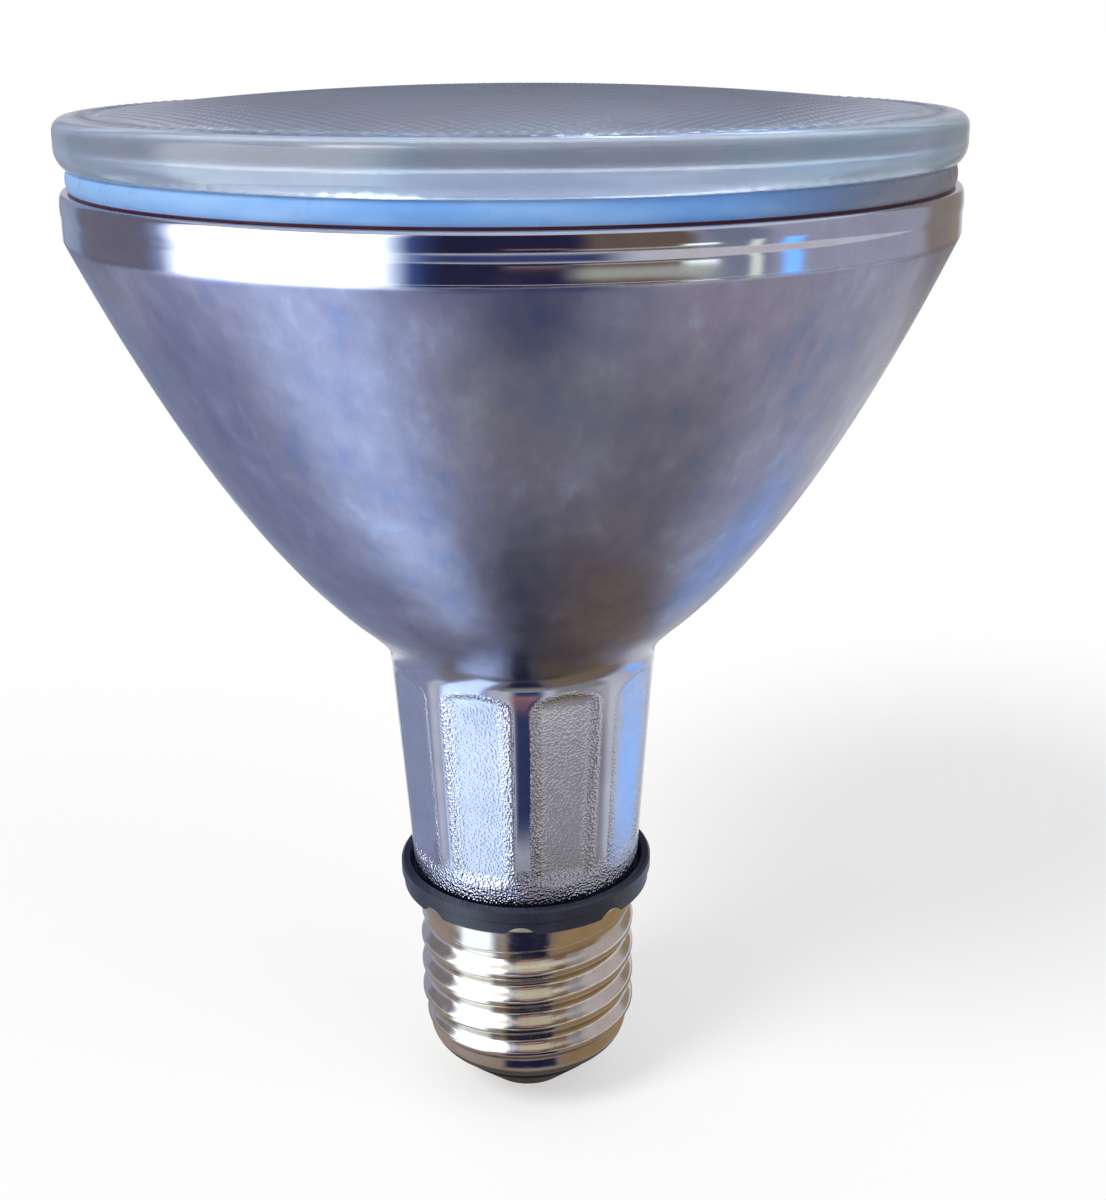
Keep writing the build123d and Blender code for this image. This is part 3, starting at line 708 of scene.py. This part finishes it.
def card(name, turns, radii, heights, layer, soft, colour, strength, edge):
    """Studio card for reflections only: a sector of the floor, a standing wall, or the two joined.

    Turns are degrees from the front towards the right; lengths are in millimetres.
    """
    near, far = radii
    base, top = heights
    columns, floor_rows, wall_rows = 25, 20, 16
    rows = [(far, base)]
    if far > near:
        rows = [(near * (far / near) ** (i / floor_rows), layer) for i in range(floor_rows + 1)]
    if top > base:
        rows += [(far, base + (top - base) * i / wall_rows) for i in range(1, wall_rows + 1)]
    first, last = turns
    verts = []
    cover = []
    for r, z in rows:
        there = card_cover(r, z, radii, heights)
        for j in range(columns):
            turn = first + (last - first) * j / (columns - 1)
            verts.append((r * sin(radians(turn)) * MM, -r * cos(radians(turn)) * MM, z * MM))
            across = 1.0 if last - first >= 360 else ease(0, soft, min(turn - first, last - turn))
            cover.append(min(across, there))
    faces = [(i * columns + j, i * columns + j + 1, (i + 1) * columns + j + 1, (i + 1) * columns + j)
             for i in range(len(rows) - 1) for j in range(columns - 1)]
    data = bpy.data.meshes.new(name)
    data.from_pydata(verts, [], faces)
    sheet = bpy.data.objects.new(name, data)
    bpy.context.scene.collection.objects.link(sheet)
    paint(sheet, "cover", cover)
    data.materials.append(card_material(name, colour, strength, edge or tuple(c * strength for c in colour)))
    sheet.visible_camera = False
    sheet.visible_diffuse = False
    sheet.visible_transmission = False
    sheet.visible_shadow = False


def make_floor():
    reach = 60
    data = bpy.data.meshes.new("floor")
    data.from_pydata([(-reach, -reach, 0), (reach, -reach, 0), (reach, reach, 0), (-reach, reach, 0)], [],
                     [(0, 1, 2, 3)])
    floor = bpy.data.objects.new("floor", data)
    bpy.context.scene.collection.objects.link(floor)
    data.materials.append(floor_material())


make_floor()

# Card: its turns, near and far radius, base and top, height of its floor part, soft border in degrees,
# colour, strength, and the border's colour where that differs
cards = {
    # Painted shadow: the first two sheets are dark floor discs round the lamp's foot, standing in for its
    # shadow where reflections see the floor.
    "contact_shadow_card": ((-180, 180), (3, 18), (0, 0), 0.2, 5, (0.10, 0.09, 0.09), 1.0, None),
    "ground_shadow_card": ((-180, 180), (12, 64), (0, 0), 0.4, 5, (0.40, 0.35, 0.33), 1.0, None),
    "room_card": ((-180, 180), (500, 500), (-60, 520), 0, 5, (0.62, 0.60, 0.68), 1.0, None),
    "window_card": ((-82, -27), (18, 190), (0, 0), 0.8, 14, (0.72, 0.87, 1.0), 2.3, (0.16, 0.38, 0.9)),
    "window_wall_card": ((-98, -16), (150, 480), (0, 520), 0.6, 18,
                         (0.92, 0.98, 1.0), 3.8, (0.16, 0.38, 0.95)),
    "front_card": ((-24, 27), (36, 68), (0, 0), 1.1, 7, (0.42, 0.42, 0.35), 1.0, (0.12, 0.12, 0.12)),
    "dark_card": ((-24, 27), (14, 44), (0, 0), 1.2, 7, (0.014, 0.018, 0.06), 1.0, (0.05, 0.07, 0.16)),
    "shade_card": ((-14, 20), (60, 140), (0, 0), 1.0, 9, (0.05, 0.07, 0.17), 1.0, None),
    "dark_floor_card": ((-30, 28), (110, 478), (0, 0), 0.5, 12, (0.08, 0.10, 0.24), 1.0, None),
    "dark_wall_card": ((-36, 30), (486, 486), (-60, 520), 0, 8,
                       (0.035, 0.03, 0.08), 1.0, (0.05, 0.08, 0.2)),
    "gold_card": ((24, 130), (14, 54), (0, 0), 0.9, 8, (0.38, 0.28, 0.16), 1.0, (0.2, 0.13, 0.07)),
    "warm_wall_card": ((12, 44), (482, 482), (-60, 520), 0, 6, (0.26, 0.18, 0.13), 1.0, None),
    "cool_wall_card": ((40, 62), (484, 484), (-60, 520), 0, 6, (0.34, 0.38, 0.46), 1.0, None),
    "grey_card": ((22, 80), (44, 125), (0, 0), 0.9, 9, (0.48, 0.46, 0.42), 1.0, None),
    "light_floor_card": ((26, 84), (105, 474), (0, 0), 0.8, 12, (1.05, 0.94, 0.86), 1.0, None),
    "sky_card": ((106, 132), (54, 140), (0, 0), 1.0, 6, (0.55, 0.98, 1.75), 1.0, None),
    "left_wall_card": ((-155, -88), (240, 484), (0, 520), 0.5, 8, (0.28, 0.26, 0.31), 1.0, None),
    "left_floor_card": ((-150, -84), (40, 260), (0, 0), 0.7, 7, (0.46, 0.50, 0.68), 1.0, None),
    "right_wall_card": ((112, 152), (260, 484), (0, 520), 0.5, 8, (0.38, 0.32, 0.26), 1.0, None),
    "rose_card": ((-13, 13), (62, 62), (26, 40), 0, 4, (0.80, 0.36, 0.30), 1.0, None),
    "crest_card": ((-18, 24), (60, 60), (40, 76), 0, 6, (0.66, 0.68, 0.55), 1.0, None),
    "salmon_card": ((-5, 13), (470, 470), (46, 60), 0, 5, (0.70, 0.42, 0.32), 1.0, None),
    "olive_card": ((8, 50), (470, 470), (24, 46), 0, 9, (0.78, 0.78, 0.60), 1.0, None),
    "glint_card": ((36, 47), (465, 465), (44, 70), 0, 3, (0.9, 1.0, 0.85), 3.0, None),
    "strip_card": ((53, 58), (465, 465), (-30, 90), 0, 2, (0.75, 0.80, 0.62), 2.0, None),
    "blue_card": ((61, 70), (465, 465), (-30, 90), 0, 4, (0.2, 0.5, 1.0), 2.6, None),
    "back_dark_card": ((158, 202), (14, 480), (0, 520), 1.2, 10, (0.05, 0.06, 0.11), 1.0, None),
    "back_window_card": ((206, 236), (20, 478), (0, 520), 0.8, 9, (0.40, 0.46, 0.60), 1.0, (0.2, 0.3, 0.5)),
}
for name, values in cards.items():
    card(name, *values)

world = bpy.data.worlds.new("studio")
bpy.context.scene.world = world
world.use_nodes = True
tree = world.node_tree
level = tree.nodes.new("ShaderNodeMapRange")
level.inputs["To Min"].default_value = 0.5
level.inputs["To Max"].default_value = 1.0
tree.links.new(seen_factor(tree), level.inputs["Value"])
tree.links.new(level.outputs["Result"], tree.nodes["Background"].inputs["Strength"])
tree.nodes["Background"].inputs["Color"].default_value = (1, 1, 1, 1)


def soft_sun(name, towards, strength, angle, colour):
    """Broad distant lamp whose light comes from a direction."""
    data = bpy.data.lights.new(name, "SUN")
    data.energy = strength
    data.angle = radians(angle)
    data.color = colour
    lamp = bpy.data.objects.new(name, data)
    bpy.context.scene.collection.objects.link(lamp)
    lamp.rotation_euler = Vector(towards).to_track_quat("Z", "Y").to_euler()
    lamp.visible_glossy = False


soft_sun("key", (-0.55, -0.5, 0.8), 1.7, 22, (1.0, 0.99, 0.97))
soft_sun("fill", (0.6, -0.5, 0.7), 0.4, 40, (0.97, 0.98, 1.0))

# Camera fitted to the photograph: place in metres, then the turn, pitch and roll in degrees
PLACE = (0, -0.18693, 0.12840)
PITCH, YAW, ROLL = 15.53, 2.39, -0.216
FOCAL_PX, AXIS_PX, FRAME_PX = 1680.4, (588.3, 487.5), (1106, 1200)
p, w, q = radians(PITCH), radians(YAW), radians(ROLL)
forward = Vector((sin(w) * cos(p), cos(w) * cos(p), -sin(p)))
right = forward.cross(Vector((0, 0, 1))).normalized()
up = right.cross(forward)
right, up = right * cos(q) + up * sin(q), up * cos(q) - right * sin(q)
camera_data = bpy.data.cameras.new("camera")
camera_data.sensor_width = 36
camera_data.lens = FOCAL_PX / FRAME_PX[1] * 36
camera_data.shift_x = (FRAME_PX[0] / 2 - AXIS_PX[0]) / FRAME_PX[1]
camera_data.shift_y = (AXIS_PX[1] - FRAME_PX[1] / 2) / FRAME_PX[1]
camera_data.clip_start = 0.005
camera = bpy.data.objects.new("camera", camera_data)
bpy.context.scene.collection.objects.link(camera)
turn = Matrix((right, up, -forward)).transposed().to_4x4()
camera.matrix_world = Matrix.Translation(PLACE) @ turn
bpy.context.scene.camera = camera
bpy.context.scene.view_settings.view_transform = "Standard"
